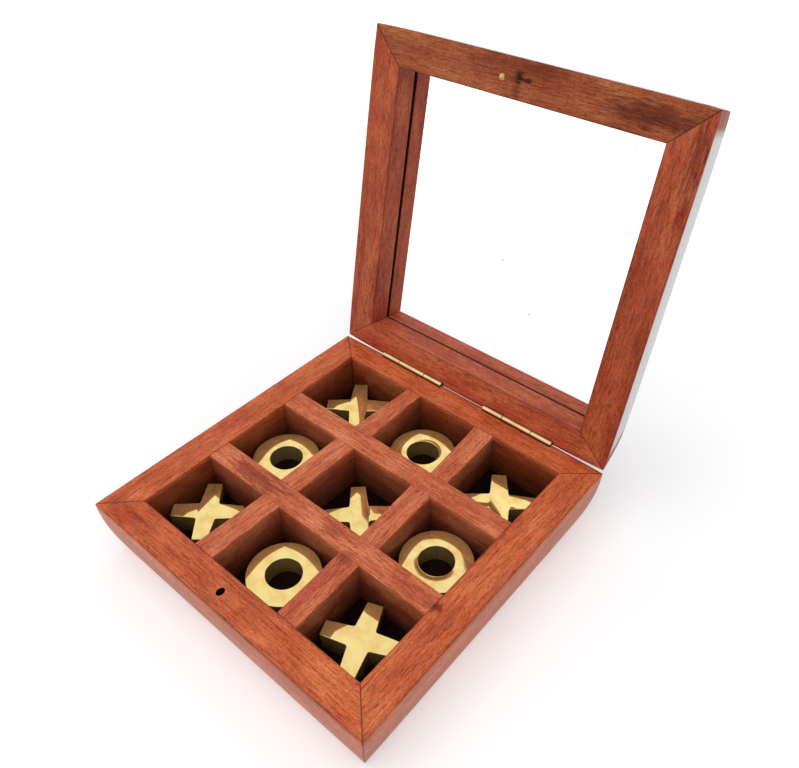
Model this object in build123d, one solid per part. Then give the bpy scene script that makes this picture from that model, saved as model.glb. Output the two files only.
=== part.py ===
"""Tic-tac-toe box: a wooden case with a nine-cell tray, a hinged glass lid and brass pieces.

Millimetres, +Z up. The origin is the middle of the underside. +X runs along the hinges,
-Y is the front, where the catch pin closes, and +Y is the hinged back.
The lid stands open against its stop, as it does in use.
"""
from build123d import *
import os
from math import cos, radians, sin

# Case
BOX_SIDE = 130.0
BASE_HEIGHT = 25.0
LID_HEIGHT = 20.0
BASE_LEAN = 3.8
BASE_BULGE = 0.95
LID_LEAN = 3.45
LID_BULGE = 0.2
BASE_RAIL_WIDTH = 12.5
BASE_BACK_RAIL_WIDTH = 10.6
LID_RAIL_WIDTH = 13.2
LID_BACK_RAIL_WIDTH = 11.3
LID_GAP = 0.6
LID_OPEN_ANGLE = 100.5
BASE_CORNER_RADIUS = 0.8
LID_CORNER_RADIUS = 1.2

# Floor of the tray
CELL_DEPTH = 18.2
FLOOR_REBATE = 3.0
PANEL_CLEARANCE = 0.05

# Dividers of the tray: two long strips and six short cross pieces, cut by hand
STRIP_WIDTH = 9.2
# how far each long strip lies behind its place in an even grid of nine cells
STRIP_SHIFTS = {"front": 0.43, "back": 0.57}
# each cross piece: shift of its front end and its back end to the right, width at front and back
CROSS_PIECES = {
    "front_left": (-0.27, 0.63, 9.2, 8.2),
    "front_right": (2.27, 1.17, 8.4, 8.6),
    "middle_left": (0.33, 0.83, 8.8, 9.0),
    "middle_right": (1.67, 0.27, 8.5, 8.8),
    "back_left": (1.53, 2.03, 8.6, 6.6),
    "back_right": (1.37, -0.43, 7.9, 8.7),
}

# Glass pane
GLASS_THICKNESS = 2.0
GLASS_UP = 9.8
GLASS_TONGUE = 2.5

# Brass pieces
PIECE_HEIGHT = 8.0
O_PLAY = 2.57
O_HOLE_DIAMETER = 12.8
X_PLAY = 2.27
X_TIP_WIDTH = 5.6
X_ROOT_WIDTH = 7.2
X_CORNER_RADIUS = 0.8
PIECE_CHAMFER = 0.35
# each piece: its cell's column and row, its shift there and, for a cross, how far it is turned
X_PLACES = {
    "front_left": (-1, -1, -1.93, 1.47, 38.5),
    "front_right": (1, -1, 0.73, 0.17, 22.3),
    "middle": (0, 0, 3.6, -1.3, 44.5),
    "back_left": (-1, 1, 0.87, 3.73, 37.8),
    "back_right": (1, 1, 1.13, -1.07, 35.5),
}
O_PLACES = {
    "front": (0, -1, 1.9, 0.97),
    "left": (-1, 0, 0.27, 0.9),
    "right": (1, 0, 0.13, 0.9),
    "back": (0, 1, 1.5, -0.07),
}

# Hinges
HINGE_LENGTH = 32.0
HINGE_MIDDLES = {"left": -26.8, "right": 26.7}
HINGE_AXIS_BEHIND = 0.1
BARREL_DIAMETER = 2.8
HINGE_PIN_DIAMETER = 1.4
PIN_HOLD_CLEARANCE = 0.02
PIN_RUN_CLEARANCE = 0.05
LEAF_THICKNESS = 0.65
LEAF_HEIGHT = 9.0
MIDDLE_KNUCKLE_SHARE = 0.42
KNUCKLE_GAP = 0.3
BARREL_CLEARANCE = 0.3
SEAT_CLEARANCE = 0.02

# Hinge screws
SCREW_SPACING = 21.0
SCREW_DROP = 5.6
SCREW_SHANK_DIAMETER = 1.8
SCREW_HEAD_DIAMETER = 3.4
SCREW_HEAD_DEPTH = 0.9
SCREW_LENGTH = 7.0
SCREW_TIP_LENGTH = 1.8
SCREW_SLOT_WIDTH = 0.5
SCREW_SLOT_DEPTH = 0.35

# Catch: a headed pin, leaning forwards a little, and the short slot that it swings into
CATCH_X = -2.2
CATCH_ROOT_Y = -58.7
CATCH_TILT = 7.0
CATCH_REACH = 10.5
CATCH_ROOT_LENGTH = 5.0
CATCH_STEM_DIAMETER = 1.3
CATCH_HEAD_DIAMETER = 2.0
CATCH_CLEARANCE = 0.3
CATCH_HOLE_SPARE = 1.5

# How far a cut runs past the face that it opens
OVERCUT = 1.0

HALF = BOX_SIDE / 2
CELL_ROOM = (BOX_SIDE - 2 * BASE_RAIL_WIDTH - 2 * STRIP_WIDTH) / 3
CELL_PITCH = CELL_ROOM + STRIP_WIDTH
O_DIAMETER = CELL_ROOM - O_PLAY
X_REACH = (CELL_ROOM - X_PLAY) / 2
FLOOR_TOP = BASE_HEIGHT - CELL_DEPTH
LID_BOTTOM = BASE_HEIGHT + LID_GAP
AXIS_Y = HALF + HINGE_AXIS_BEHIND
AXIS_Z = BASE_HEIGHT + LID_GAP / 2
BARREL_RADIUS = BARREL_DIAMETER / 2
PIN_RADIUS = HINGE_PIN_DIAMETER / 2
HINGE_LINE = Axis((0, AXIS_Y, AXIS_Z), (1, 0, 0))

os.makedirs("parts", exist_ok=True)


def block(x0, x1, y0, y1, z0, z1):
    """A box between two corners."""
    middle = ((x0 + x1) / 2, (y0 + y1) / 2, (z0 + z1) / 2)
    return Pos(*middle) * Box(x1 - x0, y1 - y0, z1 - z0)


def prism(points, z0, z1):
    """A straight prism on a plan outline."""
    outline = Polyline(*points, close=True)
    return Pos(0, 0, z0) * extrude(make_face(outline), z1 - z0)


def curved_block(height, lean, bulge, corner_radius):
    """A square block whose four sides lean in along an arc as they leave the parting plane."""
    half_lean = lean / 2 - bulge
    top = Line((-HALF, 0), (HALF, 0))
    right = ThreePointArc((HALF, 0), (HALF - half_lean, height / 2), (HALF - lean, height))
    end = Line((HALF - lean, height), (-HALF + lean, height))
    left = ThreePointArc((-HALF + lean, height), (-HALF + half_lean, height / 2), (-HALF, 0))
    face = make_face(Wire([top, right, end, left]))
    along_y = Rot(90, 0, 0) * extrude(face, HALF, both=True)
    along_x = Rot(0, 0, 90) * along_y
    body = along_y & along_x
    corners = body.edges().filter_by(lambda edge: abs(edge.center().X) > HALF / 2 < abs(edge.center().Y))
    return fillet(corners, corner_radius)


def rail_outlines(rail, back_rail):
    """The plan of each mitred rail, from the outer corner to the corner of the opening."""
    outer = HALF + OVERCUT
    inner = HALF - rail
    back = HALF - back_rail
    return {
        "front": [(-outer, -outer), (outer, -outer), (inner, -inner), (-inner, -inner)],
        "back": [(-outer, outer), (-back, back), (back, back), (outer, outer)],
        "left": [(-outer, -outer), (-inner, -inner), (-inner, back), (-back, back), (-outer, outer)],
        "right": [(outer, -outer), (outer, outer), (back, back), (inner, back), (inner, -inner)],
    }


def case_rails(solid, rail, back_rail, z0, z1, cuts):
    """Four mitred rails cut out of one shaped block, with the given cuts taken away."""
    rails = {}
    for side, outline in rail_outlines(rail, back_rail).items():
        piece = solid & prism(outline, z0, z1)
        for cut in cuts:
            piece = piece - cut
        rails[side] = piece.solid()
    return rails


def opened(shape):
    """Turns a lid piece from its closed place to where the lid stands open."""
    return shape.rotate(HINGE_LINE, -LID_OPEN_ANGLE)


def hinge_rod(x0, x1, radius):
    """A round bar on the hinge line."""
    return Pos((x0 + x1) / 2, AXIS_Y, AXIS_Z) * (Rot(0, 90, 0) * Cylinder(radius, x1 - x0))


def hinge_spans(middle):
    """The places along the hinge line of the first, middle and last knuckle."""
    start = middle - HINGE_LENGTH / 2
    inner = HINGE_LENGTH * (1 - MIDDLE_KNUCKLE_SHARE) / 2
    first = (start, start + inner - KNUCKLE_GAP / 2)
    centre = (start + inner + KNUCKLE_GAP / 2, start + HINGE_LENGTH - inner - KNUCKLE_GAP / 2)
    last = (start + HINGE_LENGTH - inner + KNUCKLE_GAP / 2, start + HINGE_LENGTH)
    return first, centre, last


def leaf_plate(middle, direction):
    """The flat part of a leaf, down the base's back or up the lid's back from the hinge line."""
    x0 = middle - HINGE_LENGTH / 2
    y0 = AXIS_Y - BARREL_RADIUS
    z_values = sorted((AXIS_Z, AXIS_Z + direction * LEAF_HEIGHT))
    return block(x0, x0 + HINGE_LENGTH, y0, y0 + LEAF_THICKNESS, *z_values)


def screw_points(middle, direction):
    """Where the two screws of a leaf stand."""
    z = AXIS_Z + direction * SCREW_DROP
    return [(middle + side * SCREW_SPACING / 2, z) for side in (-1, 1)]


def screw(x, z, grow=0.0, slotted=True):
    """A countersunk wood screw driven forwards from the leaf's outer face."""
    head_face = AXIS_Y - BARREL_RADIUS + LEAF_THICKNESS
    shank_radius = SCREW_SHANK_DIAMETER / 2 + grow
    head_radius = SCREW_HEAD_DIAMETER / 2 + grow
    profile = Polyline(
        (0, 0),
        (head_radius, 0),
        (shank_radius, SCREW_HEAD_DEPTH + grow),
        (shank_radius, SCREW_LENGTH - SCREW_TIP_LENGTH),
        (0, SCREW_LENGTH + grow),
        close=True,
    )
    body = revolve(Plane.XZ * make_face(profile), Axis.Z, 360)
    if slotted:
        slot = Box(SCREW_HEAD_DIAMETER * 2, SCREW_SLOT_WIDTH, SCREW_SLOT_DEPTH * 2)
        body = body - slot
    return Pos(x, head_face, z) * (Rot(90, 0, 0) * body)


def hinge_leaf(middle, direction):
    """A leaf with its knuckles: the base's leaf has the two outer ones, the lid's the middle one."""
    first, centre, last = hinge_spans(middle)
    own = [first, last] if direction < 0 else [centre]
    others = [centre] if direction < 0 else [first, last]
    bore = PIN_HOLD_CLEARANCE if direction < 0 else PIN_RUN_CLEARANCE
    leaf = leaf_plate(middle, direction)
    for x0, x1 in others:
        reach = BARREL_RADIUS + BARREL_CLEARANCE
        y0, y1 = AXIS_Y - reach, AXIS_Y + reach
        z0, z1 = AXIS_Z - reach, AXIS_Z + reach
        leaf = leaf - block(x0 - KNUCKLE_GAP, x1 + KNUCKLE_GAP, y0, y1, z0, z1)
    for x0, x1 in own:
        leaf = leaf + hinge_rod(x0, x1, BARREL_RADIUS)
    leaf = leaf - hinge_rod(first[0] - OVERCUT, last[1] + OVERCUT, PIN_RADIUS + bore)
    for x, z in screw_points(middle, direction):
        leaf = leaf - screw(x, z, SEAT_CLEARANCE, False)
    return leaf.solid()


def hinge_cuts(middle, direction):
    """What a rail loses to a hinge: the leaf's seat, the barrel's notch and the screw holes."""
    x0 = middle - HINGE_LENGTH / 2
    x1 = middle + HINGE_LENGTH / 2
    seat_y = AXIS_Y - BARREL_RADIUS
    seat_end = AXIS_Z + direction * (LEAF_HEIGHT + SEAT_CLEARANCE)
    z_values = sorted((AXIS_Z - direction * LID_GAP, seat_end))
    seat = block(x0 - SEAT_CLEARANCE, x1 + SEAT_CLEARANCE, seat_y, HALF + OVERCUT, *z_values)
    reach = BARREL_RADIUS + BARREL_CLEARANCE
    notch = block(x0 - BARREL_CLEARANCE, x1 + BARREL_CLEARANCE,
                  AXIS_Y - reach, HALF + OVERCUT, AXIS_Z - reach, AXIS_Z + reach)
    cuts = [seat, notch]
    cuts += [screw(x, z, SEAT_CLEARANCE, False) for x, z in screw_points(middle, direction)]
    return cuts


def o_piece(x, y):
    """A ring with broken edges, lying on the floor of its cell."""
    body = Cylinder(O_DIAMETER / 2, PIECE_HEIGHT) - Cylinder(O_HOLE_DIAMETER / 2, PIECE_HEIGHT)
    body = chamfer(body.edges().filter_by(GeomType.CIRCLE), PIECE_CHAMFER)
    return Pos(x, y, FLOOR_TOP + PIECE_HEIGHT / 2) * body


def x_piece(x, y, turn):
    """A cross with arms that narrow to their tips, lying on the floor of its cell."""
    points = []
    for quarter in range(4):
        angle = radians(90 * quarter)
        corners = (
            (X_REACH, -X_TIP_WIDTH / 2),
            (X_REACH, X_TIP_WIDTH / 2),
            (X_ROOT_WIDTH / 2, X_ROOT_WIDTH / 2),
        )
        for along, across in corners:
            points.append((along * cos(angle) - across * sin(angle),
                           along * sin(angle) + across * cos(angle)))
    body = prism(points, 0, PIECE_HEIGHT)
    crotches = body.edges().filter_by(Axis.Z).sort_by_distance((0, 0, PIECE_HEIGHT / 2))[:4]
    body = fillet(crotches, X_CORNER_RADIUS)
    rims = body.faces().filter_by(Axis.Z).edges()
    body = chamfer(rims, PIECE_CHAMFER)
    return Pos(x, y, FLOOR_TOP) * (Rot(0, 0, turn) * body)


def cross_piece(front_y, back_y, front_x, back_x, front_width, back_width):
    """A short divider between two long ones, not quite square to them."""
    outline = [
        (front_x - front_width / 2, front_y),
        (front_x + front_width / 2, front_y),
        (back_x + back_width / 2, back_y),
        (back_x - back_width / 2, back_y),
    ]
    return prism(outline, FLOOR_TOP, BASE_HEIGHT)


def catch_pin(grow=0.0):
    """A round-headed pin standing out of the lid's front rail, here as in the closed lid."""
    stem_radius = CATCH_STEM_DIAMETER / 2 + grow
    stem_top = CATCH_ROOT_LENGTH + grow
    stem_bottom = -CATCH_REACH + CATCH_HEAD_DIAMETER / 2
    stem_length = stem_top - stem_bottom
    stem = Pos(0, 0, (stem_top + stem_bottom) / 2) * Cylinder(stem_radius, stem_length)
    head = Pos(0, 0, stem_bottom) * Sphere(CATCH_HEAD_DIAMETER / 2)
    return Pos(CATCH_X, CATCH_ROOT_Y, LID_BOTTOM) * (Rot(-CATCH_TILT, 0, 0) * (stem + head))


def catch_slot():
    """The slot that the pin's head swings into, as long as the head's arc and the lean need."""
    lean = radians(CATCH_TILT)
    head_radius = CATCH_HEAD_DIAMETER / 2
    head_along = CATCH_REACH - head_radius
    head_y = CATCH_ROOT_Y - head_along * sin(lean) - AXIS_Y
    head_z = LID_BOTTOM - head_along * cos(lean) - AXIS_Z
    entry_y = AXIS_Y - (head_y**2 + head_z**2) ** 0.5
    front = entry_y - head_radius - CATCH_CLEARANCE
    back = CATCH_ROOT_Y + CATCH_STEM_DIAMETER / 2 + CATCH_CLEARANCE
    width = CATCH_HEAD_DIAMETER + 2 * CATCH_CLEARANCE
    depth = CATCH_REACH - LID_GAP + CATCH_HOLE_SPARE
    outline = Rot(0, 0, 90) * SlotOverall(back - front, width)
    return Pos(CATCH_X, (front + back) / 2, BASE_HEIGHT - depth) * extrude(outline, depth + OVERCUT)


parts = {}

# Base: rails, floor and the catch's slot
base_inner = HALF - BASE_RAIL_WIDTH
base_back = HALF - BASE_BACK_RAIL_WIDTH
base_block = curved_block(BASE_HEIGHT, BASE_LEAN, BASE_BULGE, BASE_CORNER_RADIUS)
base_block = Pos(0, 0, BASE_HEIGHT) * (Rot(180, 0, 0) * base_block)
floor_side = base_inner + FLOOR_REBATE
floor_back = base_back + FLOOR_REBATE
floor = block(-floor_side, floor_side, -floor_side, floor_back, 0, FLOOR_TOP)
rebate_side = floor_side + PANEL_CLEARANCE
rebate_back = floor_back + PANEL_CLEARANCE
floor_rebate = block(-rebate_side, rebate_side, -rebate_side, rebate_back, -OVERCUT, FLOOR_TOP)
base_cuts = [floor_rebate, catch_slot()]
for middle in HINGE_MIDDLES.values():
    base_cuts += hinge_cuts(middle, -1)
base_rails = case_rails(
    base_block, BASE_RAIL_WIDTH, BASE_BACK_RAIL_WIDTH, 0, BASE_HEIGHT, base_cuts
)
for side, rail in base_rails.items():
    parts[f"base_{side}_rail"] = rail
parts["base_floor"] = floor

# Dividers
front_strip_y = -CELL_PITCH / 2 + STRIP_SHIFTS["front"]
back_strip_y = CELL_PITCH / 2 + STRIP_SHIFTS["back"]
for name, y in (("front", front_strip_y), ("back", back_strip_y)):
    strip = block(-base_inner, base_inner, y - STRIP_WIDTH / 2, y + STRIP_WIDTH / 2,
                  FLOOR_TOP, BASE_HEIGHT)
    parts[f"divider_long_{name}"] = strip
rows = {
    "front": (-base_inner, front_strip_y - STRIP_WIDTH / 2),
    "middle": (front_strip_y + STRIP_WIDTH / 2, back_strip_y - STRIP_WIDTH / 2),
    "back": (back_strip_y + STRIP_WIDTH / 2, base_back),
}
columns = {"left": -CELL_PITCH / 2, "right": CELL_PITCH / 2}
for name, (front_shift, back_shift, front_width, back_width) in CROSS_PIECES.items():
    row_name, column_name = name.split("_")
    x = columns[column_name]
    piece = cross_piece(*rows[row_name], x + front_shift, x + back_shift, front_width, back_width)
    parts[f"divider_cross_{name}"] = piece

# Brass pieces
for name, (column, row, x_shift, y_shift, turn) in X_PLACES.items():
    place = (column * CELL_PITCH + x_shift, row * CELL_PITCH + y_shift)
    parts[f"x_piece_{name}"] = x_piece(*place, turn)
for name, (column, row, x_shift, y_shift) in O_PLACES.items():
    place = (column * CELL_PITCH + x_shift, row * CELL_PITCH + y_shift)
    parts[f"o_piece_{name}"] = o_piece(*place)

# Lid: rails, glass and catch pin, made closed and then turned open
lid_inner = HALF - LID_RAIL_WIDTH
lid_back = HALF - LID_BACK_RAIL_WIDTH
lid_block = curved_block(LID_HEIGHT, LID_LEAN, LID_BULGE, LID_CORNER_RADIUS)
lid_block = Pos(0, 0, LID_BOTTOM) * lid_block
glass_side = lid_inner + GLASS_TONGUE
glass_back = lid_back + GLASS_TONGUE
glass_z = LID_BOTTOM + GLASS_UP
glass = block(-glass_side, glass_side, -glass_side, glass_back, glass_z, glass_z + GLASS_THICKNESS)
groove_side = glass_side + PANEL_CLEARANCE
groove_back = glass_back + PANEL_CLEARANCE
groove_z = glass_z - PANEL_CLEARANCE
groove_top = glass_z + GLASS_THICKNESS + PANEL_CLEARANCE
glass_groove = block(-groove_side, groove_side, -groove_side, groove_back, groove_z, groove_top)
lid_cuts = [glass_groove, catch_pin(SEAT_CLEARANCE)]
for middle in HINGE_MIDDLES.values():
    lid_cuts += hinge_cuts(middle, 1)
lid_rails = case_rails(
    lid_block, LID_RAIL_WIDTH, LID_BACK_RAIL_WIDTH, LID_BOTTOM, LID_BOTTOM + LID_HEIGHT, lid_cuts
)
for side, rail in lid_rails.items():
    parts[f"lid_{side}_rail"] = opened(rail)
parts["lid_glass"] = opened(glass)
parts["catch_pin"] = opened(catch_pin())

# Hinges
for name, middle in HINGE_MIDDLES.items():
    parts[f"hinge_{name}_base_leaf"] = hinge_leaf(middle, -1)
    parts[f"hinge_{name}_lid_leaf"] = opened(hinge_leaf(middle, 1))
    pin = Cylinder(PIN_RADIUS, HINGE_LENGTH)
    parts[f"hinge_{name}_pin"] = Pos(middle, AXIS_Y, AXIS_Z) * (Rot(0, 90, 0) * pin)
    for part_name, direction in (("base", -1), ("lid", 1)):
        screws = [screw(x, z) for x, z in screw_points(middle, direction)]
        if part_name == "lid":
            screws = [opened(s) for s in screws]
        parts[f"hinge_{name}_{part_name}_screws"] = Compound(children=screws)

for name, shape in parts.items():
    export_step(shape, f"parts/{name}.step")
print(len(parts), "nodes written")
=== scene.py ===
"""Looks of a tic-tac-toe box: polished wood tray and lid, a glass pane, brass pieces and hinges.

Sizes are in metres in the frame of the CAD model: +X along the hinges, +Y to the back, +Z up.
The lid's pieces are shaped as in the closed box and then turned to where the lid stands open.
"""
from math import cos, pi, radians, sin, sqrt

import bmesh
import bpy
from bpy.props import FloatProperty, PointerProperty, StringProperty
from mathutils import Matrix, Vector


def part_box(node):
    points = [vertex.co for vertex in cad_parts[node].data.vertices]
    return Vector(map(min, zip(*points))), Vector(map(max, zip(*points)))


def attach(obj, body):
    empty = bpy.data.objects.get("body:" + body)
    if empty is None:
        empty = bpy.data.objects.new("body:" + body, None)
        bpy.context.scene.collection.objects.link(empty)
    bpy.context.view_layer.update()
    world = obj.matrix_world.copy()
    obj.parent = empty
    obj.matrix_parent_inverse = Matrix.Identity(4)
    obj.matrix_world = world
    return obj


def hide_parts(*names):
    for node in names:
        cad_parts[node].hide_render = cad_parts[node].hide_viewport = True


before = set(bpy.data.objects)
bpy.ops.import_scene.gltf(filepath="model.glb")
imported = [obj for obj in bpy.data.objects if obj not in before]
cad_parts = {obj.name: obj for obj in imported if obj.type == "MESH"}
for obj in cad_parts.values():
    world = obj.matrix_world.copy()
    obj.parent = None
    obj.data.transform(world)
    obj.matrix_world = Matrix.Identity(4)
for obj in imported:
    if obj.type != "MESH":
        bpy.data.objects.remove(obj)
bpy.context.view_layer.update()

bl_info = {
    "name": "Tic-tac-toe box",
    "version": (1, 0, 0),
    "blender": (4, 5, 0),
    "location": "View3D > Sidebar > Game Box",
    "description": "Builds the wood, glass and brass of a tic-tac-toe box and its photo stage",
    "category": "Object",
}

MM = 0.001

# Case, as the CAD model has it
HALF_SIDE = 65 * MM
BASE_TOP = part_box("base_front_rail")[1].z
FLOOR_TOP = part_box("base_floor")[1].z
BASE_INNER = -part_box("base_front_rail")[1].y
BASE_BACK_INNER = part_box("base_back_rail")[0].y
BASE_LEAN = 3.8 * MM
BASE_BULGE = 0.95 * MM
FLOOR_REBATE = 3 * MM
PARTING_GAP = 0.6 * MM
LID_BOTTOM = BASE_TOP + PARTING_GAP
LID_HEIGHT = 20 * MM
LID_INNER = 51.8 * MM
LID_BACK_INNER = 53.7 * MM
LID_LEAN = 3.45 * MM
LID_BULGE = 0.2 * MM
LID_OPEN_ANGLE = radians(100.5)
SIDES = ("front", "back", "left", "right")

# Extra points this far from a rail's edges keep the edge's tint from spreading over the face
EDGE_GUARD = 1 * MM

# Groove of the pane
GLASS_UP = 9.8 * MM
GLASS_THICKNESS = 2 * MM
GLASS_TONGUE = 2.5 * MM
GLASS_EDGE = 0.15 * MM
GROOVE_SPARE = 0.05 * MM

# How far the painted shade of the groove reaches over the wall beside it
GROOVE_SHADE_REACH = 0.3 * MM

# Hinges, whose middles go from left to right
HINGE_AXIS_BEHIND = 0.1 * MM
HINGE_AXIS_Y = HALF_SIDE + HINGE_AXIS_BEHIND
HINGE_AXIS_Z = BASE_TOP + PARTING_GAP / 2
HINGE_MIDDLES = (-26.8 * MM, 26.7 * MM)
HINGE_LENGTH = 32 * MM
BARREL_RADIUS = 1.4 * MM
LEAF_HEIGHT = 9 * MM

# Tighter than the CAD model's notch, so that no light shows past the barrel
BARREL_CLEARANCE = 0.05 * MM

# How far the seats' cutters stand out behind the wood
OVERCUT = 2 * MM

# The way that the hinges' faces with a painted highlight look; the faces turned away get painted shade
PAINTED_HIGHLIGHT_WAY = (0, -0.42, 0.91)

# Brass pieces
PIECE_HEIGHT = 8 * MM
O_RADIUS = 13.15 * MM
O_HOLE_RADIUS = 6.4 * MM
X_REACH = 13.3 * MM
X_TIP = 2.8 * MM
X_ROOT = 3.6 * MM
X_TURNS = {"front_left": 38.5, "front_right": 22.3, "middle": 44.5, "back_left": 37.8, "back_right": 35.5}

# The edges that meet at the hinges are rubbed less
BACK_EDGE_RADIUS = 0.12 * MM

# How far the back edges swell between the hinges, which narrows the slit there
BASE_BACK_BOW = 0.32 * MM
LID_BACK_BOW = 0.28 * MM

# Half the width of the open line at a mitre
MITRE_GAP = 0.05 * MM

# Catch
CATCH_X = -2.2 * MM
CATCH_SLOT_WIDTH = 2.6 * MM
CATCH_SLOT_DEPTH = 11 * MM
CATCH_SLOT_FRONT = -60.9 * MM
CATCH_SLOT_BACK = -57.6 * MM
CATCH_ROOT_Y = -58.7 * MM
CATCH_TILT = radians(7)
CATCH_REACH = 10.5 * MM
CATCH_ROOT_LENGTH = 5 * MM
CATCH_STEM_RADIUS = 0.42 * MM
CATCH_HEAD_RADIUS = 1 * MM
CATCH_BEND = 0.2 * MM
CATCH_PIN_FACETS = 16

# How far the dark tint reaches from an edge and from a mitre
EDGE_TINT_WIDTH = 0.5 * MM
JOINT_TINT_WIDTH = 0.3 * MM

# Points closer than this become one
SLIVER = 0.002 * MM

# Heights that differ by less than this count as the same
SAME_HEIGHT = 0.001 * MM

# Slack when faces and points are sorted by place
SLACK = 0.1 * MM
SEAT_SLACK = 0.4 * MM

# The dividers' edges are rubbed less than the rails'
DIVIDER_EDGE_SHARE = 0.7

# How much polish, and how much painted sheen, shows on the outer sides of the base and of the lid
BASE_SIDE_WAX_AND_SHEEN = 0.12
LID_SIDE_WAX_AND_SHEEN = 1.0

# Stage: the lamp, and the paper's painted glow, which grows from near the box to far from it
LAMP_SIZE = 0.9
LAMP_PLACE = (0.05, -0.3, 0.85)
LAMP_AIM = (0, 0, 0.03)
FLOOR_SIDE = 6
GLOW_DISTANCES = (0.12, 0.5)
GLOW_LEVELS = (0.3, 0.6)

# Camera, found from the corners of the box in an image of 799 by 768
IMAGE_WIDTH = 799
FOCAL_PIXELS = 766.33
SENSOR_WIDTH = 36.0
CAMERA_PLACE = (0.13484, -0.12850, 0.23437)
CAMERA_RIGHT = (0.75685, 0.65356, -0.00626)
CAMERA_DOWN = (0.42294, -0.49704, -0.75768)


def linear(code):
    """An sRGB hex colour as linear red, green and blue."""
    values = [int(code[i:i + 2], 16) / 255 for i in (0, 2, 4)]
    return [v / 12.92 if v <= 0.04045 else ((v + 0.055) / 1.055) ** 2.4 for v in values]


def rgba(code):
    """An sRGB hex colour as a linear colour with full alpha."""
    return (*linear(code), 1.0)


def add_node(tree, kind, settings=None, inputs=None):
    """Adds a node, sets its settings, and fills its inputs with values or links."""
    node = tree.nodes.new(kind)
    for name, value in (settings or {}).items():
        setattr(node, name, value)
    for key, value in (inputs or {}).items():
        if isinstance(value, bpy.types.NodeSocket):
            tree.links.new(value, node.inputs[key])
        else:
            node.inputs[key].default_value = value
    return node


def new_material(name):
    """An empty node material and its tree."""
    material = bpy.data.materials.new(name)
    material.use_nodes = True
    material.node_tree.nodes.clear()
    return material, material.node_tree


def finish_material(tree, shader):
    """Joins the last shader to the material's output."""
    add_node(tree, "ShaderNodeOutputMaterial", None, {"Surface": shader})


def ramp(tree, factor, stops):
    """A colour ramp with its stops given as place and colour."""
    node = add_node(tree, "ShaderNodeValToRGB", None, {"Fac": factor})
    elements = node.color_ramp.elements
    elements[0].position, elements[0].color = stops[0]
    elements[1].position, elements[1].color = stops[-1]
    for place, colour in stops[1:-1]:
        element = elements.new(place)
        element.color = colour
    return node.outputs["Color"]


def mix(tree, blend, factor, first, second):
    """Mixes two colours and returns the result."""
    node = add_node(tree, "ShaderNodeMix", {"data_type": "RGBA", "blend_type": blend})
    for key, value in ((0, factor), (6, first), (7, second)):
        if isinstance(value, bpy.types.NodeSocket):
            tree.links.new(value, node.inputs[key])
        else:
            node.inputs[key].default_value = value
    return node.outputs[2]


def scaled_noise(tree, vector, size_mm, detail, roughness=0.5, distortion=0.0):
    """Noise whose lumps measure size_mm along, across and up, on a position in millimetres."""
    scale = [1 / s for s in size_mm]
    scaled = add_node(tree, "ShaderNodeVectorMath", {"operation": "MULTIPLY"},
                      {0: vector, 1: scale}).outputs[0]
    noise = add_node(tree, "ShaderNodeTexNoise", None, {
        "Vector": scaled, "Scale": 1.0, "Detail": detail,
        "Roughness": roughness, "Distortion": distortion})
    return noise.outputs["Fac"]


def grey(value):
    """A grey colour."""
    return (value, value, value, 1.0)


def arithmetic(tree, operation, *values):
    """A math node on values or links."""
    return add_node(tree, "ShaderNodeMath", {"operation": operation}, dict(enumerate(values))).outputs[0]


def place_in_mm(tree):
    """The object's own coordinates, in millimetres."""
    place = add_node(tree, "ShaderNodeTexCoord").outputs["Object"]
    return add_node(tree, "ShaderNodeVectorMath", {"operation": "SCALE"},
                    {0: place, "Scale": 1 / MM}).outputs[0]


def spread(tree, value, start, end, low, high):
    """Maps a value between start and end to one between low and high."""
    return add_node(tree, "ShaderNodeMapRange", None, {
        "Value": value, "From Min": start, "From Max": end, "To Min": low, "To Max": high}).outputs[0]


def attribute(tree, name, output="Fac"):
    """Reads a value that the mesh stores at its points."""
    return add_node(tree, "ShaderNodeAttribute", {"attribute_name": name}).outputs[output]


def stain_mask(tree, place, centre, reach, strength):
    """Where a stain lies: a soft spot round its centre, torn into streaks along the grain."""
    offset = add_node(tree, "ShaderNodeVectorMath", {"operation": "SUBTRACT"}, {
        0: add_node(tree, "ShaderNodeTexCoord").outputs["Object"],
        1: [c * MM for c in centre]}).outputs[0]
    shrunk = add_node(tree, "ShaderNodeVectorMath", {"operation": "DIVIDE"}, {
        0: offset, 1: [r * MM for r in reach]}).outputs[0]
    length = add_node(tree, "ShaderNodeVectorMath", {"operation": "LENGTH"}, {0: shrunk}).outputs["Value"]
    streaks = scaled_noise(tree, place, (6, 0.8, 0.8), 4, 0.65)
    torn = arithmetic(tree, "MULTIPLY_ADD", streaks, 2.4, -1.2)
    field = arithmetic(tree, "ADD", length, torn)
    return ramp(tree, field, [(0.4, grey(strength)), (0.95, grey(0))])


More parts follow.
